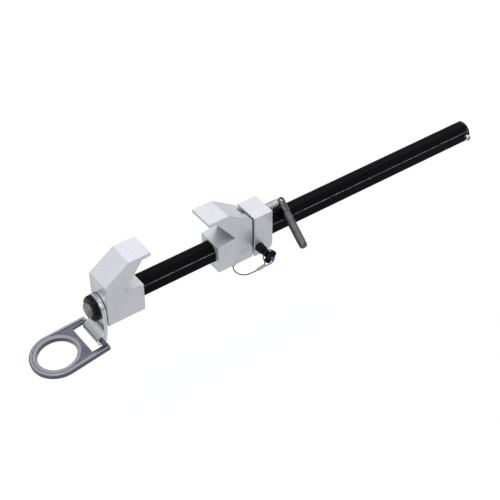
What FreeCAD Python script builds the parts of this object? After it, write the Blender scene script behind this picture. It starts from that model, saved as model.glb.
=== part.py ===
import FreeCAD, Part
import math
import os

# Adjustable beam-flange clamp anchor: an octagonal bar with a fixed jaw and a swivelling
# D-ring at one end, and a sliding jaw with its locking block, clamp screw and lock pin.
# Millimetres. The origin is the seat line of the fixed jaw, where the beam flange's edge rests,
# at the middle of the jaw's width. +X runs along the bar, +Y to its far side, +Z up.

# ---------------------------------------------------------------- driving dimensions
RUNNING = 0.05            # radial clearance of a running fit
FREE = 0.3                # clearance between parts that must not touch
EDGE = 0.7                # edge bevel on the aluminium castings

JAW_WIDTH = 38.0
JAW_FRONT_X = -26.5       # face that carries the swivel
JAW_BASE_Z = -44.0
JAW_SHOULDER_Z = 17.5     # top of the front face, where the slope starts
JAW_RIDGE = (9.5, 42.0)
JAW_TIP_TOP = (40.0, 42.0)
JAW_TIP_BOTTOM = (39.0, 36.6)
JAW_HOOK_ROOT = (28.0, 36.5)
JAW_LIP = (27.0, -2.5)
JAW_TOE_X = 26.5
JAW_FRONT_WALL = 7.5      # metal between the front face and the bar's end
SEAT_SPAN = 163.5         # distance between the two seat lines

BAR_Z = -20.5             # height of the bar's axis
BAR_HALF_WIDTH = 12.7
BAR_HALF_HEIGHT = 14.5
BAR_CHAMFER = 6.9
BAR_END_X = 570.0
FLAT_Z = -28.2            # underside, milled flat along the stroke
FLAT_START_X = 32.0
FLAT_END_X = 552.0
CAP_END_X = 578.4
CAP_DOME_RADIUS = 21.0
CAP_PLUG_RADIUS = 8.0
CAP_PLUG_LENGTH = 18.0
STOP_BOLT_X = 567.0
STOP_BOLT_RADIUS = 2.5
STOP_HEAD_RADIUS = 4.25
STOP_HEAD_HEIGHT = 6.3
STOP_NUT_FLATS = 8.0
STOP_NUT_HEIGHT = 4.0

STUD_RADIUS = 10.0
STUD_TAIL_RADIUS = 8.0
STUD_TAIL_END_X = 14.0
SWIVEL_Z = -22.0          # height of the swivel's axis
THRUST_WASHER = 0.8
THRUST_WASHER_RADIUS = 16.5
STRAP_THICKNESS = 4.8
STRAP_HALF_WIDTH = 17.6
STRAP_GAP = 0.12          # running gap each side of the strap
SWIVEL_WASHER = 0.8
SWIVEL_WASHER_RADIUS = 16.8
NUT_FLATS = 30.0
NUT_HEIGHT = 7.0
STUD_PROUD = 4.6

ROLL_X = -37.0            # axis of the strap's fold, which the ring hinges on
ROLL_Z = -64.0
ROLL_RADIUS = 6.9
CROSSBAR_RADIUS = 3.0
RING_TILT = 6.0           # degrees below level
RING_SIDE_PLAY = -1.2     # the ring has slid this far along the fold
RING_HALF_WIDTH = 32.6    # at the crossbar
RING_OUTER_RADIUS = 35.0
EYE_RADIUS = 25.0
EYE_CENTRE = 54.3         # from the crossbar
SLOT_END = 18.7
SLOT_HALF_WIDTH = 24.8
RING_THICKNESS = 7.5
WEB_THICKNESS = 5.0
RIM_WIDTH = 4.2
BEAD_RADIUS = 30.0        # outside of the raised bead round the eye

BLOCK_GAP = 3.0           # between the sliding jaw and its block
BLOCK_LENGTH = 29.0
BLOCK_TOP_Z = 17.5
BLOCK_BASE_Z = -46.0
BLOCK_CORNER = 12.0       # rounding of the lower rear edge

SCREW_Y = 2.0
SCREW_Z = 5.3
SCREW_RADIUS = 5.5
BUSH_RADIUS = 8.0
HEAD_RADIUS = 6.0
HEAD_THICKNESS = 4.0
NECK_RADIUS = 4.0
HEAD_WALL = 1.4           # jaw metal that the screw's head pulls against
PIVOT_X = 250.0
TANG_THICKNESS = 4.0
TANG_RADIUS = 4.5
LEVER_ANGLE = -60.0       # turn of the screw and lever about the screw's axis
LEVER_TILT = 5.0          # fold of the lever, away from square to the screw
LEVER_PIN_RADIUS = 2.0
FORK_HALF_WIDTH = 4.5
FORK_HALF_THICKNESS = 4.6
FORK_SLOT = 4.5
FORK_SLOT_DEPTH = 5.9
FORK_LENGTH = 16.5
FORK_GROOVE_WIDTH = 3.6
FORK_GROOVE_DEPTH = 1.2
GRIP_RADIUS = 5.4
GRIP_CORE_RADIUS = 3.4
LEVER_LENGTH = 69.5
GRIP_END_WALL = 7.5
LEVER_HOLE_RADIUS = 1.2
LEVER_HOLE_INSET = 4.6    # from the grip's end

PIN_X = 200.0
PIN_Z = -31.8
PIN_RADIUS = 3.2
PIN_END_Y = 27.0
BALL_Y = 22.0
BALL_RADIUS = 1.2
BALL_CENTRE = 2.6         # from the pin's axis
COLLAR_RADIUS = 6.4
NECK_RING_RADIUS = 6.0
BARREL_RADIUS = 5.0
BARREL_START_Y = -30.0
HANDLE_Y = -43.5
HANDLE_RADIUS = 4.3
HANDLE_HALF_LENGTH = 9.2
HANDLE_ANGLE = -41.0      # of the T-handle about the pin's axis
PIN_BORE_RADIUS = 1.6
SPINDLE_RADIUS = 1.1
SPINDLE_LAND_RADIUS = 1.3
BUTTON_TRAVEL = 2.2
BALL_TRAVEL = 0.86
BUTTON_RADIUS = 2.9
BUTTON_PROUD = 2.3

WIRE_RADIUS = 0.75
FERRULE_RADIUS = 2.1
ANCHOR = (161.0, -15.5)
ANCHOR_RADIUS = 3.2

# Route of the lanyard from the sliding jaw's underside to the ferrule.
LANYARD_ROUTE = [
    (161.0, -15.5, -46.0),
    (161.0, -15.5, -49.2),
    (160.8, -18.6, -53.4),
    (163.8, -24.0, -56.9),
    (169.0, -29.6, -57.4),
    (174.6, -34.4, -54.0),
    (180.0, -37.4, -51.0),
    (184.3, -37.9, -49.8),
]
# Route of the loop from the ferrule round the pin's barrel and back.
LOOP_ROUTE = [
    (194.4, -39.0, -47.9),
    (199.2, -38.4, -49.8),
    (205.2, -37.9, -50.4),
    (210.3, -37.9, -47.2),
    (211.6, -37.9, -40.8),
    (208.8, -37.9, -33.0),
    (205.4, -37.9, -26.2),
    (198.6, -37.9, -23.8),
    (193.4, -37.9, -28.2),
    (192.4, -37.9, -35.0),
    (195.4, -38.0, -40.4),
    (194.4, -39.0, -46.1),
]
FERRULE_LENGTH = 10.3

HALF_JAW = JAW_WIDTH / 2
BACK_X = SEAT_SPAN - JAW_FRONT_X
BLOCK_FRONT_X = BACK_X + BLOCK_GAP
BLOCK_REAR_X = BLOCK_FRONT_X + BLOCK_LENGTH
HEAD_REAR_X = BACK_X - HEAD_WALL - FREE
X_AXIS = FreeCAD.Vector(1, 0, 0)
Y_AXIS = FreeCAD.Vector(0, 1, 0)
Z_AXIS = FreeCAD.Vector(0, 0, 1)
V = FreeCAD.Vector


# ---------------------------------------------------------------- helpers
def box(x0, x1, y0, y1, z0, z1):
    return Part.makeBox(x1 - x0, y1 - y0, z1 - z0, V(x0, y0, z0))


def rod_x(radius, x0, x1, y=0.0, z=0.0):
    return Part.makeCylinder(radius, x1 - x0, V(x0, y, z), X_AXIS)


def rod_y(radius, y0, y1, x=0.0, z=0.0):
    return Part.makeCylinder(radius, y1 - y0, V(x, y0, z), Y_AXIS)


def rod_z(radius, z0, z1, x=0.0, y=0.0):
    return Part.makeCylinder(radius, z1 - z0, V(x, y, z0), Z_AXIS)


def fuse(first, *others):
    return first.multiFuse(list(others)).removeSplitter()


def prism_y(points, y0, y1):
    """Closed outline of (x, z) points, from y0 to y1."""
    corners = [V(x, y0, z) for x, z in points]
    return Part.Face(Part.makePolygon(corners + corners[:1])).extrude(V(0, y1 - y0, 0))


def prism_x(points, x0, x1):
    """Closed outline of (y, z) points, from x0 to x1."""
    corners = [V(x0, y, z) for y, z in points]
    return Part.Face(Part.makePolygon(corners + corners[:1])).extrude(V(x1 - x0, 0, 0))


def hexagon(flats):
    radius = flats / math.sqrt(3)
    return [(radius * math.cos(math.radians(60 * k)), radius * math.sin(math.radians(60 * k)))
            for k in range(6)]


def bevelled(solid, size):
    return solid.makeChamfer(size, solid.Edges)


def circular_edges(solid, radius, at=None, axis=None):
    """Circular edges of one radius, optionally only those in the plane where axis equals at."""
    found = []
    for edge in solid.Edges:
        if edge.Degenerated:
            continue
        curve = edge.Curve
        if not isinstance(curve, Part.Circle) or abs(curve.Radius - radius) > 1e-6:
            continue
        if axis is None or abs(curve.Center.dot(axis) - at) < 1e-6:
            found.append(edge)
    return found


def turned(solid, angle, centre, axis):
    moved = solid.copy()
    moved.rotate(centre, axis, angle)
    return moved


def tangent_point(point, centre, radius, side):
    """Where a line from point touches the circle; side is +1 or -1."""
    dx, dz = centre[0] - point[0], centre[1] - point[1]
    distance = math.hypot(dx, dz)
    angle = math.atan2(dz, dx) + side * math.asin(radius / distance)
    reach = math.sqrt(distance ** 2 - radius ** 2)
    return (point[0] + reach * math.cos(angle), point[1] + reach * math.sin(angle))


# ---------------------------------------------------------------- bar and its end
def octagon(gap=0.0):
    half_y, half_z = BAR_HALF_WIDTH + gap, BAR_HALF_HEIGHT + gap
    cut = BAR_CHAMFER + gap * (2 - math.sqrt(2))
    quarter = [(half_y, half_z - cut), (half_y - cut, half_z)]
    ring = [quarter[0], quarter[1]]
    ring += [(-y, z) for y, z in reversed(quarter)]
    ring += [(-y, -z) for y, z in quarter]
    ring += [(y, -z) for y, z in reversed(quarter)]
    return [(y, z + BAR_Z) for y, z in ring]


def bar():
    solid = prism_x(octagon(), JAW_FRONT_X + JAW_FRONT_WALL, BAR_END_X)
    solid = solid.cut(box(FLAT_START_X, FLAT_END_X, -20, 20, BAR_Z - 30, FLAT_Z))
    solid = solid.cut(rod_x(STUD_TAIL_RADIUS, JAW_FRONT_X, STUD_TAIL_END_X + 4, 0, SWIVEL_Z))
    solid = solid.cut(rod_x(CAP_PLUG_RADIUS, BAR_END_X - CAP_PLUG_LENGTH - 1, BAR_END_X + 1, 0, BAR_Z))
    return solid.cut(rod_y(STOP_BOLT_RADIUS, -20, 20, STOP_BOLT_X, BAR_Z))


def bar_end_cap():
    cap = prism_x(octagon(), BAR_END_X, CAP_END_X)
    dome = Part.makeSphere(CAP_DOME_RADIUS, V(CAP_END_X - CAP_DOME_RADIUS, 0, BAR_Z))
    cap = cap.common(dome)
    plug = rod_x(CAP_PLUG_RADIUS, BAR_END_X - CAP_PLUG_LENGTH, BAR_END_X, 0, BAR_Z)
    return fuse(cap, plug).cut(rod_y(STOP_BOLT_RADIUS, -20, 20, STOP_BOLT_X, BAR_Z))


def stop_bolt():
    head_y = -BAR_HALF_WIDTH - STOP_HEAD_HEIGHT
    tip_y = BAR_HALF_WIDTH + STOP_NUT_HEIGHT + 1.2
    head = rod_y(STOP_HEAD_RADIUS, head_y, -BAR_HALF_WIDTH, STOP_BOLT_X, BAR_Z)
    head = head.makeFillet(0.5, circular_edges(head, STOP_HEAD_RADIUS, head_y, Y_AXIS))
    shank = rod_y(STOP_BOLT_RADIUS, -BAR_HALF_WIDTH, tip_y, STOP_BOLT_X, BAR_Z)
    shank = shank.makeChamfer(0.5, circular_edges(shank, STOP_BOLT_RADIUS, tip_y, Y_AXIS))
    socket = prism_y([(x + STOP_BOLT_X, z + BAR_Z) for x, z in hexagon(4.0)], head_y, head_y + 2.5)
    return fuse(head, shank).cut(socket)


def stop_nut():
    outline = [(x + STOP_BOLT_X, z + BAR_Z) for x, z in hexagon(STOP_NUT_FLATS)]
    nut = prism_y(outline, BAR_HALF_WIDTH, BAR_HALF_WIDTH + STOP_NUT_HEIGHT)
    return nut.cut(rod_y(STOP_BOLT_RADIUS, BAR_HALF_WIDTH, 30, STOP_BOLT_X, BAR_Z))


# ---------------------------------------------------------------- jaws
def jaw_blank():
    outline = [
        (JAW_FRONT_X, JAW_BASE_Z),
        (JAW_FRONT_X, JAW_SHOULDER_Z),
        JAW_RIDGE,
        JAW_TIP_TOP,
        JAW_TIP_BOTTOM,
        JAW_HOOK_ROOT,
        (0.0, 0.0),
        JAW_LIP,
        (JAW_TOE_X, JAW_BASE_Z),
    ]
    return bevelled(prism_y(outline, -HALF_JAW, HALF_JAW), EDGE)


def fixed_jaw():
    pocket_x = JAW_FRONT_X + JAW_FRONT_WALL
    jaw = jaw_blank().cut(prism_x(octagon(), pocket_x, JAW_TOE_X + 5))
    return jaw.cut(rod_x(STUD_RADIUS, JAW_FRONT_X - 1, pocket_x, 0, SWIVEL_Z))


def drop_in_slot(half_width, x0, x1):
    """Slot open at the top, with a round floor about the screw's axis."""
    top = JAW_RIDGE[1] + 5
    walls = box(x0, x1, SCREW_Y - half_width, SCREW_Y + half_width, SCREW_Z, top)
    return fuse(walls, rod_x(half_width, x0, x1, SCREW_Y, SCREW_Z))


def moving_jaw():
    jaw = jaw_blank().mirror(V(SEAT_SPAN / 2, 0, 0), X_AXIS)
    jaw = jaw.cut(prism_x(octagon(FREE), SEAT_SPAN - JAW_TOE_X - 5, BACK_X + 5))
    pocket_start = HEAD_REAR_X - HEAD_THICKNESS - FREE
    jaw = jaw.cut(drop_in_slot(HEAD_RADIUS + FREE, pocket_start, BACK_X - HEAD_WALL))
    jaw = jaw.cut(drop_in_slot(NECK_RADIUS + FREE, BACK_X - HEAD_WALL - 1, BACK_X + 1))
    return jaw.cut(rod_z(ANCHOR_RADIUS - 1, JAW_BASE_Z - 1, JAW_BASE_Z + 5, *ANCHOR))


# ---------------------------------------------------------------- swivel and ring
STRAP_REAR_X = JAW_FRONT_X - THRUST_WASHER - STRAP_GAP
STRAP_FRONT_X = STRAP_REAR_X - STRAP_THICKNESS
WASHER_REAR_X = STRAP_FRONT_X - STRAP_GAP
NUT_REAR_X = WASHER_REAR_X - SWIVEL_WASHER
NUT_FRONT_X = NUT_REAR_X - NUT_HEIGHT
STUD_END_X = NUT_FRONT_X - STUD_PROUD


def swivel_stud():
    shoulder_x = JAW_FRONT_X + JAW_FRONT_WALL
    body = rod_x(STUD_RADIUS, STUD_END_X, shoulder_x, 0, SWIVEL_Z)
    body = body.makeFillet(1.8, circular_edges(body, STUD_RADIUS, STUD_END_X, X_AXIS))
    tail = rod_x(STUD_TAIL_RADIUS, shoulder_x, STUD_TAIL_END_X, 0, SWIVEL_Z)
    tail = tail.makeChamfer(1.0, circular_edges(tail, STUD_TAIL_RADIUS, STUD_TAIL_END_X, X_AXIS))
    return fuse(body, tail)


def washer(radius, x0, x1):
    disc = rod_x(radius, x0, x1, 0, SWIVEL_Z)
    disc = disc.makeChamfer(0.3, circular_edges(disc, radius))
    return disc.cut(rod_x(STUD_RADIUS, x0 - 1, x1 + 1, 0, SWIVEL_Z))


def swivel_nut():
    outline = [(y, z + SWIVEL_Z) for y, z in hexagon(NUT_FLATS)]
    nut = prism_x(outline, NUT_FRONT_X, NUT_REAR_X)
    crown = Part.makeCone(NUT_FLATS * 0.5, NUT_FLATS * 0.5 + NUT_HEIGHT * 1.73, NUT_HEIGHT,
                          V(NUT_FRONT_X, 0, SWIVEL_Z), X_AXIS)
    nut = nut.common(crown)
    return nut.cut(rod_x(STUD_RADIUS, NUT_FRONT_X - 1, NUT_REAR_X + 1, 0, SWIVEL_Z))


def swivel_strap():
    roll = (ROLL_X, ROLL_Z)
    rear_bend = (STRAP_REAR_X, SWIVEL_Z - 27.5)
    front_bend = (STRAP_FRONT_X, SWIVEL_Z - 27.5)
    rear_touch = tangent_point(rear_bend, roll, ROLL_RADIUS, 1)
    front_touch = tangent_point(front_bend, roll, ROLL_RADIUS, -1)
    top = SWIVEL_Z + STRAP_HALF_WIDTH
    side = prism_y([(STRAP_REAR_X, top), rear_bend, rear_touch, roll, front_touch, front_bend,
                    (STRAP_FRONT_X, top)], -STRAP_HALF_WIDTH, STRAP_HALF_WIDTH)
    side = fuse(side, rod_y(ROLL_RADIUS, -STRAP_HALF_WIDTH, STRAP_HALF_WIDTH, *roll))
    front = fuse(
        box(-60, 0, -STRAP_HALF_WIDTH, STRAP_HALF_WIDTH, ROLL_Z - 20, SWIVEL_Z),
        rod_x(STRAP_HALF_WIDTH, -60, 0, 0, SWIVEL_Z),
    )
    strap = side.common(front)
    strap = strap.cut(rod_y(CROSSBAR_RADIUS + FREE, -30, 30, *roll))
    middle_x = (STRAP_REAR_X + STRAP_FRONT_X) / 2
    half_slit = 0.2
    bend_z = rear_bend[1]
    slit = fuse(
        box(middle_x - half_slit, middle_x + half_slit, -30, 30, bend_z, top + 1),
        prism_y([(middle_x - half_slit, bend_z), (middle_x + half_slit, bend_z),
                 (ROLL_X + half_slit, ROLL_Z), (ROLL_X - half_slit, ROLL_Z)], -30, 30),
    )
    strap = strap.cut(slit)
    return strap.cut(rod_x(STUD_RADIUS + RUNNING, -60, 0, 0, SWIVEL_Z))


def ring_outline(inset=0.0):
    """Face of the ring's outline, moved inwards by inset, in its own flat frame."""
    radius = RING_OUTER_RADIUS - inset
    centre = (EYE_CENTRE, 0.0)
    corner = (-CROSSBAR_RADIUS + inset, RING_HALF_WIDTH - inset)
    touch = tangent_point(corner, centre, radius, 1)
    if touch[1] < 0:
        touch = tangent_point(corner, centre, radius, -1)
    left, right = V(corner[0], corner[1], 0), V(touch[0], touch[1], 0)
    arc = Part.Arc(right, V(EYE_CENTRE + radius, 0, 0), V(right.x, -right.y, 0)).toShape()
    sides = [
        Part.makeLine(left, right),
        arc,
        Part.makeLine(V(right.x, -right.y, 0), V(left.x, -left.y, 0)),
        Part.makeLine(V(left.x, -left.y, 0), left),
    ]
    return Part.Face(Part.Wire(sides))


def ring_placed(solid):
    solid.rotate(V(0, 0, 0), Z_AXIS, 180)
    solid.rotate(V(0, 0, 0), Y_AXIS, -RING_TILT)
    solid.translate(V(ROLL_X, RING_SIDE_PLAY, ROLL_Z))
    return solid


def d_ring():
    half = RING_THICKNESS / 2
    ring = ring_outline().extrude(V(0, 0, RING_THICKNESS))
    ring.translate(V(0, 0, -half))
    ring = ring.makeFillet(2.2, ring.Edges)
    recess = (RING_THICKNESS - WEB_THICKNESS) / 2
    for bottom in (half - recess, -half):
        pocket = ring_outline(RIM_WIDTH).extrude(V(0, 0, recess))
        pocket.translate(V(0, 0, bottom))
        pocket = pocket.cut(rod_z(BEAD_RADIUS, -half - 1, half + 1, EYE_CENTRE, 0))
        ring = ring.cut(pocket)
    ring = ring.cut(rod_z(EYE_RADIUS, -half - 1, half + 1, EYE_CENTRE, 0))
    ring = ring.makeFillet(1.6, circular_edges(ring, EYE_RADIUS))
    ring = ring.cut(box(-20, SLOT_END, -SLOT_HALF_WIDTH, SLOT_HALF_WIDTH, -half - 1, half + 1))
    crossbar = rod_y(CROSSBAR_RADIUS, -SLOT_HALF_WIDTH - 2, SLOT_HALF_WIDTH + 2)
    return ring_placed(fuse(ring, crossbar))


# ---------------------------------------------------------------- locking block and clamp screw
def lock_block():
    block = box(BLOCK_FRONT_X, BLOCK_REAR_X, -HALF_JAW, HALF_JAW, BLOCK_BASE_Z, BLOCK_TOP_Z)
    corner = [edge for edge in block.Edges
              if edge.CenterOfMass.x > BLOCK_REAR_X - 1 and edge.CenterOfMass.z < BLOCK_BASE_Z + 1]
    block = bevelled(block.makeFillet(BLOCK_CORNER, corner), EDGE)
    block = block.cut(prism_x(octagon(FREE), BLOCK_FRONT_X - 1, BLOCK_REAR_X + 1))
    block = block.cut(rod_x(BUSH_RADIUS, BLOCK_FRONT_X - 1, BLOCK_REAR_X + 1, SCREW_Y, SCREW_Z))
    block = block.cut(rod_y(PIN_RADIUS + RUNNING, -30, 30, PIN_X, PIN_Z))
    for side in (-1, 1):
        ball_way = rod_y(BALL_RADIUS + 0.1, -30, 30, PIN_X + side * BALL_CENTRE, PIN_Z)
        block = block.cut(ball_way)
    return block


def screw_bush():
    bush = rod_x(BUSH_RADIUS, BLOCK_FRONT_X, BLOCK_REAR_X, SCREW_Y, SCREW_Z)
    return bush.cut(rod_x(SCREW_RADIUS + RUNNING, 0, BLOCK_REAR_X + 1, SCREW_Y, SCREW_Z))


def lever_placed(solid, tilt=0.0):
    """From a frame with the pivot at its origin and the lever down -Z, to its place."""
    solid.rotate(V(0, 0, 0), Y_AXIS, tilt)
    solid.rotate(V(0, 0, 0), X_AXIS, LEVER_ANGLE)
    solid.translate(V(PIVOT_X, SCREW_Y, SCREW_Z))
    return solid


def clamp_screw():
    head = rod_x(HEAD_RADIUS, HEAD_REAR_X - HEAD_THICKNESS, HEAD_REAR_X, SCREW_Y, SCREW_Z)
    head = head.makeChamfer(0.5, circular_edges(head, HEAD_RADIUS))
    neck_end = BLOCK_FRONT_X + 2.5
    shank_end = PIVOT_X - FORK_HALF_WIDTH - 1.2
    neck = rod_x(NECK_RADIUS, HEAD_REAR_X, neck_end, SCREW_Y, SCREW_Z)
    shank = rod_x(SCREW_RADIUS, neck_end, shank_end, SCREW_Y, SCREW_Z)
    shank = shank.makeChamfer(0.6, circular_edges(shank, SCREW_RADIUS))
    half = TANG_THICKNESS / 2
    tang = fuse(
        box(shank_end - PIVOT_X - 1, 0, -half, half, -TANG_RADIUS, TANG_RADIUS),
        rod_y(TANG_RADIUS, -half, half),
    )
    tang = tang.cut(rod_y(LEVER_PIN_RADIUS, -half - 1, half + 1))
    return fuse(head, neck, shank, lever_placed(tang))


def lever_pin():
    reach = FORK_HALF_THICKNESS - FORK_GROOVE_DEPTH
    return lever_placed(rod_y(LEVER_PIN_RADIUS, -reach, reach))


def lever_fork():
    thick, wide = FORK_HALF_THICKNESS, FORK_HALF_WIDTH
    cheeks = fuse(
        box(-wide, wide, -thick, thick, -FORK_LENGTH, 0),
        rod_y(wide, -thick, thick),
    )
    cheeks = cheeks.makeChamfer(0.4, [edge for edge in cheeks.Edges if edge.Length > 5])
    gap = FORK_SLOT / 2
    cheeks = cheeks.cut(box(-10, 10, -gap, gap, -FORK_SLOT_DEPTH, 10))
    half_groove = FORK_GROOVE_WIDTH / 2
    groove_end = FORK_LENGTH - half_groove - 0.8
    for side in (-1, 1):
        low = min(side * thick, side * (thick - FORK_GROOVE_DEPTH))
        floor = low + FORK_GROOVE_DEPTH
        groove = fuse(
            box(-half_groove, half_groove, low, floor, -groove_end, 0.8),
            rod_y(half_groove, low, floor, 0, 0.8),
            rod_y(half_groove, low, floor, 0, -groove_end),
        )
        cheeks = cheeks.cut(groove)
    cheeks = cheeks.cut(rod_y(LEVER_PIN_RADIUS + RUNNING, -thick, thick))
    core = rod_z(GRIP_CORE_RADIUS, -LEVER_LENGTH + GRIP_END_WALL, -FORK_LENGTH)
    return lever_placed(fuse(cheeks, core), LEVER_TILT)


def lever_grip():
    grip = rod_z(GRIP_RADIUS, -LEVER_LENGTH, -FORK_LENGTH)
    grip = grip.makeFillet(GRIP_RADIUS * 0.72, circular_edges(grip, GRIP_RADIUS, -LEVER_LENGTH, Z_AXIS))
    grip = grip.makeChamfer(0.8, circular_edges(grip, GRIP_RADIUS, -FORK_LENGTH, Z_AXIS))
    grip = grip.cut(rod_z(GRIP_CORE_RADIUS, -LEVER_LENGTH + GRIP_END_WALL, 0))
    grip = grip.cut(rod_y(LEVER_HOLE_RADIUS, -10, 10, 0, -LEVER_LENGTH + LEVER_HOLE_INSET))
    return lever_placed(grip, LEVER_TILT)


# ---------------------------------------------------------------- lock pin
def pin_rod(radius, y0, y1):
    return rod_y(radius, y0, y1, PIN_X, PIN_Z)


def lock_pin_shank():
    shank = pin_rod(PIN_RADIUS, BARREL_START_Y, PIN_END_Y)
    shank = shank.makeChamfer(0.9, circular_edges(shank, PIN_RADIUS, PIN_END_Y, Y_AXIS))
    shank = shank.cut(pin_rod(PIN_BORE_RADIUS, BARREL_START_Y - 1, PIN_END_Y - 0.9))
    seat = rod_x(BALL_RADIUS + RUNNING, PIN_X - 10, PIN_X + 10, BALL_Y, PIN_Z)
    return shank.cut(seat)


def lock_pin_collar():
    """Ribbed sleeve that bears on the block's face."""
    face_y = -HALF_JAW - FREE
    sleeve = pin_rod(BARREL_RADIUS, BARREL_START_Y, face_y)
    flange = pin_rod(COLLAR_RADIUS, face_y - 1.6, face_y)
    rings = [pin_rod(NECK_RING_RADIUS, face_y - start - 1.1, face_y - start) for start in (3.4, 5.7, 8.0)]
    return fuse(sleeve, flange, *rings).cut(pin_rod(PIN_RADIUS, -40, -10))


def lock_pin_handle():
    half = HANDLE_HALF_LENGTH
    bar_x = rod_x(HANDLE_RADIUS, PIN_X - half, PIN_X + half, HANDLE_Y, PIN_Z)
    bar_x = bar_x.makeFillet(HANDLE_RADIUS * 0.7, circular_edges(bar_x, HANDLE_RADIUS))
    handle = fuse(turned(bar_x, HANDLE_ANGLE, V(PIN_X, HANDLE_Y, PIN_Z), Y_AXIS),
                  pin_rod(BARREL_RADIUS, HANDLE_Y, BARREL_START_Y))
    handle = handle.cut(pin_rod(PIN_BORE_RADIUS, HANDLE_Y, BARREL_START_Y + 1))
    return handle.cut(pin_rod(BUTTON_RADIUS + RUNNING, HANDLE_Y - 20, HANDLE_Y + 2))


def pin_spindle():
    """Rod from the button to the balls, with a land that holds them out and a waist behind it."""
    waist_radius = SPINDLE_LAND_RADIUS - BALL_TRAVEL
    waist_end = BALL_Y - BUTTON_TRAVEL
    waist_start = waist_end - BALL_RADIUS - 0.2
    land = pin_rod(SPINDLE_LAND_RADIUS, BALL_Y, BALL_Y + BALL_RADIUS)
    ramp = Part.makeCone(waist_radius, SPINDLE_LAND_RADIUS, BUTTON_TRAVEL, V(PIN_X, waist_end, PIN_Z), Y_AXIS)
    waist = pin_rod(waist_radius, waist_start, waist_end)
    rod = pin_rod(SPINDLE_RADIUS, HANDLE_Y - 1, waist_start)
    return fuse(land, ramp, waist, rod)


def push_button():
    end_y = HANDLE_Y - HANDLE_RADIUS - BUTTON_PROUD
    cap = pin_rod(BUTTON_RADIUS, end_y, HANDLE_Y - 1)
    return cap.makeFillet(0.9, circular_edges(cap, BUTTON_RADIUS, end_y, Y_AXIS))


def locking_ball(side):
    return Part.makeSphere(BALL_RADIUS, V(PIN_X + side * BALL_CENTRE, BALL_Y, PIN_Z))


# ---------------------------------------------------------------- lanyard
def cord_tube(route, radius, name):
    """Tube along straight runs joined by tangent arcs, as large as the runs allow."""
    points = [V(*point) for point in route]
    edges = []
    start = points[0]
    radii = []
    for before, corner, after in zip(points, points[1:], points[2:]):
        back, ahead = before - corner, after - corner
        run = min(back.Length, ahead.Length)
        back.normalize()
        ahead.normalize()
        turn = math.pi - back.getAngle(ahead)
        cut = 0.45 * run
        bend_radius = cut / math.tan(turn / 2)
        first, last = corner + back * cut, corner + ahead * cut
        inward = back + ahead
        inward.normalize()
        middle = corner + inward * (bend_radius / math.cos(turn / 2) - bend_radius)
        edges += [Part.LineSegment(start, first).toShape(), Part.Arc(first, middle, last).toShape()]
        radii.append(round(bend_radius, 1))
        start = last
    edges.append(Part.LineSegment(start, points[-1]).toShape())
    path = Part.Wire(edges)
    circle = Part.Wire(Part.makeCircle(radius, points[0], points[1] - points[0]))
    tube = path.makePipeShell([circle], True, True)
    ratio = tube.Volume / (math.pi * radius ** 2 * path.Length)
    print(name, "length", round(path.Length, 1), "radii", radii, "volume ratio", round(ratio, 4))
    return tube


def lanyard_anchor():
    flange = rod_z(ANCHOR_RADIUS, LANYARD_ROUTE[0][2], JAW_BASE_Z, *ANCHOR)
    flange = flange.makeChamfer(0.4, circular_edges(flange, ANCHOR_RADIUS, LANYARD_ROUTE[0][2], Z_AXIS))
    return fuse(flange, rod_z(ANCHOR_RADIUS - 1, JAW_BASE_Z, JAW_BASE_Z + 4.5, *ANCHOR))


def lanyard_ferrule():
    """Crimped sleeve from the lanyard's end to the two ends of the loop."""
    start = V(*LANYARD_ROUTE[-1])
    along = start - V(*LANYARD_ROUTE[-2])
    sleeve = Part.makeCylinder(FERRULE_RADIUS, FERRULE_LENGTH, start, along)
    return sleeve.makeFillet(0.5, circular_edges(sleeve, FERRULE_RADIUS))


# ---------------------------------------------------------------- build
PARTS = {
    "bar": bar,
    "bar_end_cap": bar_end_cap,
    "stop_bolt": stop_bolt,
    "stop_nut": stop_nut,
    "fixed_jaw": fixed_jaw,
    "swivel_stud": swivel_stud,
    "thrust_washer": lambda: washer(THRUST_WASHER_RADIUS, JAW_FRONT_X - THRUST_WASHER, JAW_FRONT_X),
    "swivel_washer": lambda: washer(SWIVEL_WASHER_RADIUS, NUT_REAR_X, WASHER_REAR_X),
    "swivel_nut": swivel_nut,
    "swivel_strap": swivel_strap,
    "d_ring": d_ring,
    "moving_jaw": moving_jaw,
    "lanyard_anchor": lanyard_anchor,
    "lock_block": lock_block,
    "screw_bush": screw_bush,
    "clamp_screw": clamp_screw,
    "lever_pin": lever_pin,
    "lever_fork": lever_fork,
    "lever_grip": lever_grip,
    "lock_pin_shank": lock_pin_shank,
    "lock_pin_collar": lock_pin_collar,
    "lock_pin_handle": lock_pin_handle,
    "pin_spindle": pin_spindle,
    "push_button": push_button,
    "locking_ball_rear": lambda: locking_ball(1),
    "locking_ball_front": lambda: locking_ball(-1),
    "lanyard_wire": lambda: cord_tube(LANYARD_ROUTE, WIRE_RADIUS, "lanyard_wire"),
    "lanyard_loop": lambda: cord_tube(LOOP_ROUTE, WIRE_RADIUS, "lanyard_loop"),
    "lanyard_ferrule": lanyard_ferrule,
}

os.makedirs("parts", exist_ok=True)
for node, make in PARTS.items():
    shape = make()
    if not shape.isValid() or len(shape.Solids) != 1:
        print("CHECK", node, "valid", shape.isValid(), "solids", len(shape.Solids))
    solid = shape.Solids[0]
    solid.exportStep(f"parts/{node}.step")
    size = solid.BoundBox
    print(node, round(solid.Volume / 1000, 2), "cm3", [round(value, 1) for value in
          (size.XMin, size.XMax, size.YMin, size.YMax, size.ZMin, size.ZMax)])
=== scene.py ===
import math

import bpy
from mathutils import Matrix, Vector


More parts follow.
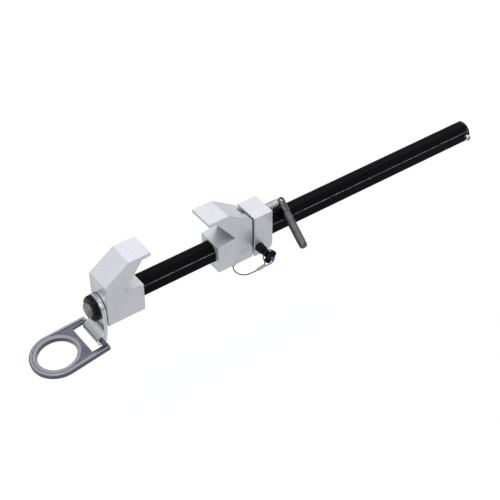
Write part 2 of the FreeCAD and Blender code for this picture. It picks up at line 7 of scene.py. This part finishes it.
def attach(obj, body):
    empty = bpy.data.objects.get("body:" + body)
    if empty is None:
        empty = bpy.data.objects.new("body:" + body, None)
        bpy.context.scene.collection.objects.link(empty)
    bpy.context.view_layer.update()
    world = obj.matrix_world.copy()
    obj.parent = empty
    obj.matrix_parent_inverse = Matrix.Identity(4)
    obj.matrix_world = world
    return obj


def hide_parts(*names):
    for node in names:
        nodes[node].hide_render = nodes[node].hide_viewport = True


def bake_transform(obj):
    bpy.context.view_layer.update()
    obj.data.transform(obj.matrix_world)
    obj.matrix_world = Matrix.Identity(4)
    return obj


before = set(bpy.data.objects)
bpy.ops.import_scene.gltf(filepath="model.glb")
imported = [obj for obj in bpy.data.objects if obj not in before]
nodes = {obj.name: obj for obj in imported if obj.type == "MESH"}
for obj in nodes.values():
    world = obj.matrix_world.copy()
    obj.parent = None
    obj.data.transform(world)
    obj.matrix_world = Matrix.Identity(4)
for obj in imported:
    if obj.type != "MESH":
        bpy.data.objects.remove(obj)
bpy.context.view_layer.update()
scene = bpy.context.scene

# ---------------------------------------------------------------- camera
CAMERA_PLACE = Vector((-0.5228, -1.0005, 1.0461))
CAMERA_RIGHT = Vector((0.8091, -0.5877, -0.0033))
CAMERA_DOWN = Vector((-0.3925, -0.5362, -0.7472))
FOCAL_LENGTH = 90.9
SENSOR_WIDTH = 36.0
FARTHEST_SEEN = 20.0


def add_camera():
    data = bpy.data.cameras.new("camera")
    data.lens = FOCAL_LENGTH
    data.sensor_width = SENSOR_WIDTH
    data.clip_end = FARTHEST_SEEN
    camera = bpy.data.objects.new("camera", data)
    scene.collection.objects.link(camera)
    right = CAMERA_RIGHT.normalized()
    back = right.cross(-CAMERA_DOWN).normalized()
    up = back.cross(right)
    turn = Matrix((right, up, back)).transposed()
    camera.matrix_world = Matrix.Translation(CAMERA_PLACE) @ turn.to_4x4()
    scene.camera = camera


add_camera()

# ---------------------------------------------------------------- lanyard
WIRE_RADIUS = 0.00075
WIRE_ROUNDNESS = 4          # extra points on each quarter of the wire's section
ROUTE_STEPS = 10            # mesh steps between two points of a route
ROUTE_ORDER = 3
LANYARD_ROUTE = [
    (0.1610, -0.0155, -0.0460),
    (0.1610, -0.0155, -0.0492),
    (0.1608, -0.0186, -0.0534),
    (0.1638, -0.0240, -0.0569),
    (0.1690, -0.0296, -0.0574),
    (0.1746, -0.0344, -0.0540),
    (0.1800, -0.0374, -0.0510),
    (0.1843, -0.0379, -0.0498),
]
LOOP_ROUTE = [
    (0.1944, -0.0390, -0.0479),
    (0.1992, -0.0384, -0.0498),
    (0.2052, -0.0379, -0.0504),
    (0.2103, -0.0379, -0.0472),
    (0.2116, -0.0379, -0.0408),
    (0.2088, -0.0379, -0.0330),
    (0.2054, -0.0379, -0.0262),
    (0.1986, -0.0379, -0.0238),
    (0.1934, -0.0379, -0.0282),
    (0.1924, -0.0379, -0.0350),
    (0.1954, -0.0380, -0.0404),
    (0.1944, -0.0390, -0.0461),
]


def route_curve(name, route):
    """A smooth curve drawn by the points of the route, from the first to the last."""
    curve = bpy.data.curves.new(name, "CURVE")
    curve.dimensions = "3D"
    curve.bevel_resolution = WIRE_ROUNDNESS
    curve.use_fill_caps = True
    curve.resolution_u = ROUTE_STEPS
    spline = curve.splines.new("NURBS")
    spline.points.add(len(route) - 1)
    for point, place in zip(spline.points, route):
        point.co = (*place, 1.0)
    spline.order_u = ROUTE_ORDER
    spline.use_endpoint_u = True
    drawn = bpy.data.objects.new(name, curve)
    scene.collection.objects.link(drawn)
    return drawn


def mesh_of_curve(drawn, radius):
    """The curve's mesh as a tube of that radius, or as a bare line when the radius is 0."""
    drawn.data.bevel_depth = radius
    bpy.context.view_layer.update()
    evaluated = drawn.evaluated_get(bpy.context.evaluated_depsgraph_get())
    return bpy.data.meshes.new_from_object(evaluated)


def add_wire(name, route):
    """A wire along the route as a mesh piece, and the points of its centreline."""
    drawn = route_curve(name, route)
    line = mesh_of_curve(drawn, 0.0)
    path = [tuple(vertex.co) for vertex in line.vertices]
    bpy.data.meshes.remove(line)
    tube = mesh_of_curve(drawn, WIRE_RADIUS)
    bpy.data.objects.remove(drawn)
    for face in tube.polygons:
        face.use_smooth = True
    tube.name = name
    piece = bpy.data.objects.new(name, tube)
    scene.collection.objects.link(piece)
    return piece, path


lanyard, lanyard_path = add_wire("Lanyard_wire", LANYARD_ROUTE)
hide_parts("lanyard_wire")
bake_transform(lanyard)

loop, loop_path = add_wire("Lanyard_loop", LOOP_ROUTE)
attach(loop, "lock_pin")
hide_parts("lanyard_loop")


# ---------------------------------------------------------------- materials
EVEN = (1, 1, 1)            # no stretch along any axis
BEVEL_SAMPLES = 4
WEAR_AND_EDGE_LIGHT_SCALE = 220.0          # noise that breaks up worn edges and painted edge highlights and shade
MIX_FIRST, MIX_SECOND, MIX_COLOUR = 6, 7, 2     # a mix node's colour sockets


class Look:
    """A Principled material with a node tree that its methods add to."""

    def __init__(self, name, colour, metallic, roughness, **sockets):
        self.material = bpy.data.materials.new(name)
        self.material.use_nodes = True
        self.tree = self.material.node_tree
        self.shader = self.tree.nodes["Principled BSDF"]
        self.place = self.node("ShaderNodeTexCoord").outputs["Object"]
        self.shader.inputs["Base Color"].default_value = (*colour, 1.0)
        self.shader.inputs["Metallic"].default_value = metallic
        self.shader.inputs["Roughness"].default_value = roughness
        for socket, value in sockets.items():
            self.shader.inputs[socket.replace("_", " ")].default_value = value
        self.normal = None

    def node(self, kind):
        return self.tree.nodes.new(kind)

    def link(self, output, socket):
        self.tree.links.new(output, socket)

    def joined(self, kind, operation, first, second=None):
        """An arithmetic node of that kind, between two outputs or fixed values."""
        node = self.node(kind)
        node.operation = operation
        for socket, value in zip(node.inputs, (first, second)):
            if isinstance(value, bpy.types.NodeSocket):
                self.link(value, socket)
            elif value is not None:
                socket.default_value = value
        return node

    def number(self, operation, first, second=None):
        return self.joined("ShaderNodeMath", operation, first, second).outputs["Value"]

    def dot(self, first, second):
        return self.joined("ShaderNodeVectorMath", "DOT_PRODUCT", first, second).outputs["Value"]

    def stretched(self, stretch):
        """The place on the piece, scaled along each axis."""
        mapping = self.node("ShaderNodeMapping")
        mapping.inputs["Scale"].default_value = stretch
        self.link(self.place, mapping.inputs["Vector"])
        return mapping.outputs["Vector"]

    def noise(self, scale, detail=4.0, stretch=EVEN):
        noise = self.node("ShaderNodeTexNoise")
        noise.inputs["Scale"].default_value = scale
        noise.inputs["Detail"].default_value = detail
        self.link(self.stretched(stretch), noise.inputs["Vector"])
        return noise.outputs["Fac"]

    def ranged(self, value, low, high, start=0.3, end=0.7):
        """The value, with start to end spread over low to high."""
        spread = self.node("ShaderNodeMapRange")
        spread.inputs["From Min"].default_value = start
        spread.inputs["From Max"].default_value = end
        spread.inputs["To Min"].default_value = low
        spread.inputs["To Max"].default_value = high
        self.link(value, spread.inputs["Value"])
        return spread.outputs["Result"]

    def rough(self, low, high, scale, stretch=EVEN):
        """Roughness that changes over the surface, as handling and machining leave it."""
        patches = self.noise(scale, 5.0, stretch)
        self.link(self.ranged(patches, low, high), self.shader.inputs["Roughness"])

    def mottled(self, other, scale, amount, stretch=EVEN):
        """Colour that drifts towards another."""
        self.tint(self.ranged(self.noise(scale, 3.0, stretch), 0.0, amount), other)

    def tint(self, share, other):
        """Mixes another colour into the one so far, by a share from 0 to 1."""
        mix = self.node("ShaderNodeMix")
        mix.data_type = "RGBA"
        self.link(share, mix.inputs["Factor"])
        colour = self.shader.inputs["Base Color"]
        if colour.is_linked:
            self.link(colour.links[0].from_socket, mix.inputs[MIX_FIRST])
        else:
            mix.inputs[MIX_FIRST].default_value = colour.default_value[:]
        mix.inputs[MIX_SECOND].default_value = (*other, 1.0)
        self.link(mix.outputs[MIX_COLOUR], colour)

    def off_plane(self, point, normal, start, end):
        """0 nearer than start to a plane through the point, 1 past end, on either side of it."""
        offset = self.joined("ShaderNodeVectorMath", "SUBTRACT", self.place, point)
        distance = self.number("ABSOLUTE", self.dot(offset.outputs["Vector"], normal))
        return self.ranged(distance, 0.0, 1.0, start, end)

    def bump(self, height, depth, strength):
        """Relief too fine to be built, over any that is there already."""
        bump = self.node("ShaderNodeBump")
        bump.inputs["Strength"].default_value = strength
        bump.inputs["Distance"].default_value = depth
        self.link(height, bump.inputs["Height"])
        if self.normal is not None:
            self.link(self.normal, bump.inputs["Normal"])
        self.normal = bump.outputs["Normal"]
        self.link(self.normal, self.shader.inputs["Normal"])

    def bevelled(self, radius):
        """The normal that the piece would have with its edges rounded."""
        bevel = self.node("ShaderNodeBevel")
        bevel.samples = BEVEL_SAMPLES
        bevel.inputs["Radius"].default_value = radius
        return bevel.outputs["Normal"]

    def rounded(self, radius):
        """Edges that catch the light as if broken to a small radius."""
        self.normal = self.bevelled(radius)
        self.link(self.normal, self.shader.inputs["Normal"])

    def edges(self, radius, other, low=0.02, high=0.25, where=None):
        """Edges tinted another colour, found where a rounded normal leaves the true one: worn edges
        on some finishes, and painted edge highlight and painted edge shade on others. where is a 0
        to 1 mask.
        """
        true_normal = self.node("ShaderNodeNewGeometry").outputs["Normal"]
        lost = self.number("SUBTRACT", 1.0, self.dot(self.bevelled(radius), true_normal))
        near_edge = self.ranged(lost, 0.0, 1.0, low, high)
        patches = self.ranged(self.noise(WEAR_AND_EDGE_LIGHT_SCALE), 0.2, 1.0)
        share = self.number("MULTIPLY", near_edge, patches)
        if where is not None:
            share = self.number("MULTIPLY", share, where)
        self.tint(share, other)


MILLED_ALONG = (0.06, 1, 1)             # stretches that draw a noise out along the bar
DRAWN_ALONG = (0.03, 1, 1)
HIGHLIGHT_FREE_EDGE = (0.0, -0.0058, 0.0)        # the bar's near top edge, left without the painted edge highlight
SIDEWAYS = (0.0, 1.0, 0.0)


def aluminium():
    look = Look("Polished_aluminium", (0.43, 0.434, 0.455), 0.55, 0.3)
    look.mottled((0.385, 0.39, 0.41), scale=22.0, amount=0.8)
    look.mottled((0.47, 0.475, 0.49), scale=140.0, amount=0.2, stretch=(1, 1, 0.3))
    look.rough(0.24, 0.38, scale=60.0, stretch=(1, 1, 0.4))
    look.rounded(0.0006)
    look.bump(look.noise(2600.0, 3.0, MILLED_ALONG), depth=0.00002, strength=0.2)
    look.bump(look.noise(55.0, 2.0), depth=0.0003, strength=0.08)
    # the dark lines along the edges are painted shade
    look.edges(0.0010, (0.06, 0.06, 0.07), low=0.01, high=0.12)
    return look.material


def anodised_bar():
    look = Look("Black_anodised", (0.0012, 0.0011, 0.0016), 0.0, 0.26, Specular_IOR_Level=0.02)
    look.mottled((0.003, 0.0027, 0.004), scale=40.0, amount=0.9, stretch=(0.15, 1, 1))
    look.rough(0.16, 0.38, scale=90.0, stretch=(0.12, 1, 1))
    look.rounded(0.0008)
    look.bump(look.noise(1500.0, 3.0, DRAWN_ALONG), depth=0.00004, strength=0.4)
    # the pale edges on the bar are a painted highlight, kept off the near top edge
    off_highlight_free_edge = look.off_plane(HIGHLIGHT_FREE_EDGE, SIDEWAYS, start=0.003, end=0.005)
    look.edges(0.0014, (0.40, 0.39, 0.42), low=0.01, high=0.08, where=off_highlight_free_edge)
    return look.material


def moulded_black():
    look = Look("Black_moulded", (0.002, 0.002, 0.0025), 0.0, 0.38, Specular_IOR_Level=0.04)
    look.mottled((0.006, 0.006, 0.007), scale=120.0, amount=0.8)
    look.rough(0.3, 0.5, scale=300.0)
    look.rounded(0.0006)
    look.bump(look.noise(1800.0, 3.0), depth=0.00005, strength=0.4)
    return look.material


def black_oxide(name, colour=(0.003, 0.003, 0.004)):
    look = Look(name, colour, 0.1, 0.34, Specular_IOR_Level=0.05)
    look.mottled((0.009, 0.008, 0.008), scale=180.0, amount=0.7)
    look.rough(0.24, 0.48, scale=260.0)
    look.rounded(0.0004)
    look.bump(look.noise(2200.0), depth=0.00004, strength=0.35)
    look.edges(0.0006, (0.12, 0.115, 0.11))
    return look.material


def steel(name, colour, shade, low, high, stretch=EVEN):
    """Bare or plated steel. low and high are the limits of its roughness."""
    look = Look(name, colour, 1.0, (low + high) / 2)
    look.mottled(shade, scale=160.0, amount=0.8, stretch=stretch)
    look.rough(low, high, scale=220.0, stretch=stretch)
    look.rounded(0.0003)
    look.bump(look.noise(2400.0, 3.0, stretch), depth=0.00003, strength=0.45)
    look.edges(0.0005, tuple(1.25 * value for value in colour))
    return look.material


RING_HINGE = (-0.037, -0.0012, -0.064)
RING_TILT = math.radians(6.0)
RING_NORMAL = (-math.sin(RING_TILT), 0.0, math.cos(RING_TILT))


def plated_ring():
    """A forging whose raised rims, off its middle plane, are painted paler than its web as a painted
    highlight.
    """
    look = Look("Plated_ring", (0.075, 0.078, 0.095), 0.85, 0.3)
    look.mottled((0.045, 0.047, 0.058), scale=70.0, amount=0.9)
    look.mottled((0.12, 0.125, 0.145), scale=420.0, amount=0.4)
    # the paler rims are a painted highlight
    raised = look.off_plane(RING_HINGE, RING_NORMAL, start=0.0026, end=0.0034)
    look.tint(raised, (0.155, 0.16, 0.175))
    look.rough(0.14, 0.28, scale=150.0)
    look.rounded(0.0005)
    look.bump(look.noise(900.0), depth=0.00010, strength=0.35)
    # the thin pale lines along the ring's edges are a painted highlight
    look.edges(0.0008, (0.6, 0.62, 0.65), high=0.3)
    return look.material


def stranded():
    look = Look("Lanyard_strand", (0.016, 0.016, 0.016), 0.4, 0.42, Specular_IOR_Level=0.2)
    look.mottled((0.006, 0.006, 0.006), scale=900.0, amount=0.9)
    look.rough(0.3, 0.55, scale=700.0)
    wave = look.node("ShaderNodeTexWave")
    wave.bands_direction = "DIAGONAL"
    wave.inputs["Scale"].default_value = 420.0
    look.link(look.place, wave.inputs["Vector"])
    look.bump(wave.outputs["Fac"], depth=0.00012, strength=0.8)
    return look.material


def blue_button():
    look = Look("Blue_button", (0.001, 0.022, 0.10), 0.2, 0.26, Coat_Weight=0.1)
    look.mottled((0.003, 0.05, 0.19), scale=260.0, amount=0.7)
    look.rough(0.18, 0.36, scale=500.0)
    look.bump(look.noise(1800.0, 3.0), depth=0.00003, strength=0.3)
    return look.material


ALUMINIUM = aluminium()
BAR_BLACK = anodised_bar()
PLASTIC = moulded_black()
NUT_BLACK = black_oxide("Black_oxide_nut")
PIN_BLACK = black_oxide("Black_oxide_pin", (0.001, 0.001, 0.001))
PLATED = steel("Zinc_plate", (0.48, 0.48, 0.47), (0.32, 0.32, 0.31), 0.2, 0.4)
STUD = steel("Turned_stud", (0.20, 0.185, 0.18), (0.13, 0.12, 0.12), 0.32, 0.5, stretch=(3, 1, 1))
STRAP = steel("Strap_steel", (0.60, 0.60, 0.62), (0.36, 0.36, 0.37), 0.14, 0.26, stretch=(1, 0.1, 1))
STAINLESS = steel("Stainless", (0.30, 0.29, 0.28), (0.22, 0.215, 0.21), 0.14, 0.28)
GRIP = steel("Knurled_stainless", (0.10, 0.098, 0.098), (0.06, 0.059, 0.059), 0.24, 0.38)
FORK = steel("Fork_stainless", (0.085, 0.083, 0.085), (0.05, 0.05, 0.052), 0.2, 0.34)
FERRULE = steel("Crimped_ferrule", (0.3, 0.3, 0.3), (0.17, 0.17, 0.17), 0.3, 0.5)
RING = plated_ring()
STRAND = stranded()
BLUE = blue_button()

FINISHES = {
    "bar": BAR_BLACK,
    "bar_end_cap": PLASTIC,
    "stop_bolt": PLATED,
    "stop_nut": PLATED,
    "fixed_jaw": ALUMINIUM,
    "moving_jaw": ALUMINIUM,
    "lock_block": ALUMINIUM,
    "swivel_stud": STUD,
    "swivel_nut": NUT_BLACK,
    "swivel_washer": PLATED,
    "thrust_washer": PLASTIC,
    "swivel_strap": STRAP,
    "d_ring": RING,
    "screw_bush": PLATED,
    "lanyard_anchor": STAINLESS,
    "clamp_screw": STAINLESS,
    "lever_pin": STAINLESS,
    "lever_fork": FORK,
    "lever_grip": GRIP,
    "lock_pin_shank": STAINLESS,
    "lock_pin_collar": PIN_BLACK,
    "lock_pin_handle": PIN_BLACK,
    "lanyard_ferrule": FERRULE,
    "lanyard_wire": STRAND,
    "lanyard_loop": STRAND,
    "push_button": BLUE,
    "pin_spindle": STAINLESS,
    "locking_ball_rear": PLATED,
    "locking_ball_front": PLATED,
}


def finish_piece(piece, material):
    if len(piece.material_slots) == 0:
        piece.data.materials.append(material)
    for slot in piece.material_slots:
        slot.material = material


for node_name, material in FINISHES.items():
    finish_piece(nodes[node_name], material)
finish_piece(lanyard, STRAND)
finish_piece(loop, STRAND)


# ---------------------------------------------------------------- knurled grip
LEVER_PIVOT = Vector((0.250, 0.002, 0.0053))
LEVER_SWING = math.radians(-60.0)
LEVER_TILT = math.radians(5.0)
KNURL_START = 0.0180      # from the pivot along the lever
KNURL_END = 0.0615
KNURL_ROOT = 0.00538
KNURL_CREST = 0.00564
KNURL_FLATTEN = 1.6       # above 1 the crests are cut flat
KNURL_TEETH = 30
KNURL_ROWS = 36
KNURL_STEPS = 6           # mesh steps to one tooth


def tent(value):
    """1 at whole numbers, 0 halfway between."""
    return 2 * abs(value - math.floor(value) - 0.5)


def knurl_height(row, step):
    """Share of the full height, from two sets of ridges that wind opposite ways."""
    turn = step / KNURL_STEPS
    climb = row / KNURL_STEPS
    ridge = min(tent((turn + climb) / 2), tent((turn - climb) / 2))
    return min(1.0, KNURL_FLATTEN * ridge)


def knurled_sleeve():
    """A diamond-knurled tube round the lever, its ends faded down to the grip."""
    around = KNURL_TEETH * KNURL_STEPS
    along = KNURL_ROWS * KNURL_STEPS
    vertices = []
    for row in range(along + 1):
        depth = KNURL_START + (KNURL_END - KNURL_START) * row / along
        fade = min(1.0, min(row, along - row) / KNURL_STEPS)
        for step in range(around):
            radius = KNURL_ROOT + (KNURL_CREST - KNURL_ROOT) * knurl_height(row, step) * fade
            angle = 2 * math.pi * step / around
            vertices.append((radius * math.cos(angle), radius * math.sin(angle), -depth))
    faces = []
    for row in range(along):
        low = row * around
        high = low + around
        for step in range(around):
            after = (step + 1) % around
            faces.append((low + step, high + step, high + after, low + after))
    mesh = bpy.data.meshes.new("Lever_knurling")
    mesh.from_pydata(vertices, [], faces)
    turn = Matrix.Rotation(LEVER_SWING, 4, "X") @ Matrix.Rotation(LEVER_TILT, 4, "Y")
    mesh.transform(Matrix.Translation(LEVER_PIVOT) @ turn)
    mesh.update()
    for face in mesh.polygons:
        face.use_smooth = True
    piece = bpy.data.objects.new("Lever_knurling", mesh)
    scene.collection.objects.link(piece)
    return piece


knurling = knurled_sleeve()
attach(knurling, "lever")
finish_piece(knurling, GRIP)


# ---------------------------------------------------------------- floor and light
FLOOR_Z = -0.30
FLOOR_SIZE = 12.0
FLOOR_SHADE = 0.60
SKY_COLOUR = (0.96, 0.98, 1.0)
SKY_LEAN = (0.1, 0.0, 1.0)      # the sky is brightest up this way
HORIZON_STRENGTH = 0.25
SKY_STRENGTH = 2.15
SKY_FULL = 0.8                  # height in the sky at which it reaches its full strength
OBJECT_MIDDLE = (0.2, 0.0, 0.0)
FIXED_END = (0.0, 0.0, -0.04)


def add_floor():
    half = FLOOR_SIZE / 2
    corners = [(-half, -half), (half, -half), (half, half), (-half, half)]
    mesh = bpy.data.meshes.new("floor")
    mesh.from_pydata([(x, y, FLOOR_Z) for x, y in corners], [], [(0, 1, 2, 3)])
    floor = bpy.data.objects.new("floor", mesh)
    scene.collection.objects.link(floor)
    look = Look("Pale_floor", (FLOOR_SHADE,) * 3, 0.0, 0.9, Specular_IOR_Level=0.0)
    mesh.materials.append(look.material)


def add_area_light(name, place, target, size, power):
    data = bpy.data.lights.new(name, "AREA")
    data.shape = "SQUARE"
    data.size = size
    data.energy = power
    light = bpy.data.objects.new(name, data)
    scene.collection.objects.link(light)
    aim = (Vector(target) - Vector(place)).to_track_quat("-Z", "Y")
    light.matrix_world = Matrix.Translation(place) @ aim.to_matrix().to_4x4()


def add_world():
    """An overhead softbox: a sky that brightens from the horizon up."""
    world = bpy.data.worlds.new("studio")
    world.use_nodes = True
    tree = world.node_tree
    direction = tree.nodes.new("ShaderNodeTexCoord")
    lift = tree.nodes.new("ShaderNodeVectorMath")
    lift.operation = "DOT_PRODUCT"
    lift.inputs[1].default_value = SKY_LEAN
    ramp = tree.nodes.new("ShaderNodeMapRange")
    ramp.inputs["From Min"].default_value = 0.0
    ramp.inputs["From Max"].default_value = SKY_FULL
    ramp.inputs["To Min"].default_value = HORIZON_STRENGTH
    ramp.inputs["To Max"].default_value = SKY_STRENGTH
    background = tree.nodes["Background"]
    background.inputs["Color"].default_value = (*SKY_COLOUR, 1.0)
    tree.links.new(direction.outputs["Generated"], lift.inputs[0])
    tree.links.new(lift.outputs["Value"], ramp.inputs["Value"])
    tree.links.new(ramp.outputs["Result"], background.inputs["Strength"])
    scene.world = world


add_floor()
add_world()
add_area_light("key", (-0.6, -0.3, 1.5), OBJECT_MIDDLE, size=0.7, power=3.0)
add_area_light("rim", (0.3, 1.5, 0.9), OBJECT_MIDDLE, size=0.5, power=2.0)
add_area_light("side", (-1.2, -0.5, 0.35), FIXED_END, size=0.4, power=1.2)
scene.view_settings.view_transform = "Standard"
